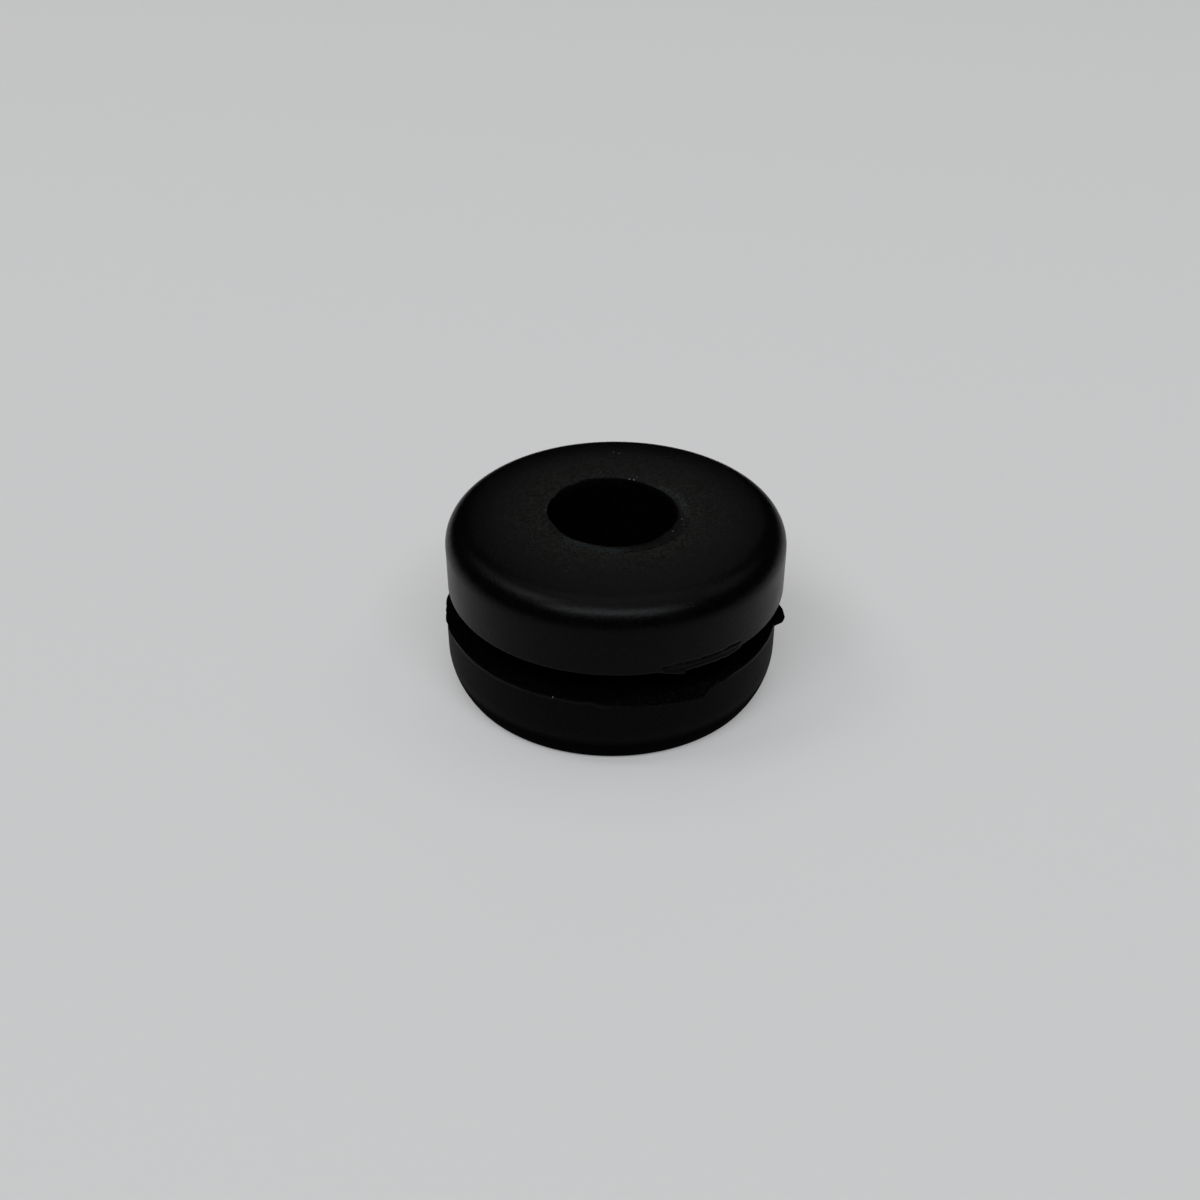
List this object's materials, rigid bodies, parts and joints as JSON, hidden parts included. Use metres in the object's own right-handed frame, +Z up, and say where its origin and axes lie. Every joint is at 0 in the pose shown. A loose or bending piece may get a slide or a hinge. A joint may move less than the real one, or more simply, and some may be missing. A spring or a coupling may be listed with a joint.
{
  "type": "rubber mount",
  "caption": "Round moulded rubber isolation mount with thick rounded flanges, a narrow panel groove between them and a through bore for a bolt or sleeve.",
  "frame": {"origin": "foot of the bore's axis, at the middle of the lower face that the mount stands on", "axes": "+Z up along the bore's axis, from the lower flange to the upper flange; +X towards the thick tag of flash on the groove's lower rim and the way the upper flange steps; +Y away from the torn stretch of that rim"},
  "size_m": [0.026, 0.0254, 0.0139],
  "materials": {
    "rubber": "black moulded rubber with a soft satin sheen"
  },
  "bodies": {
    "root": {"rubber_mount": "rubber"}
  },
  "joints": []
}
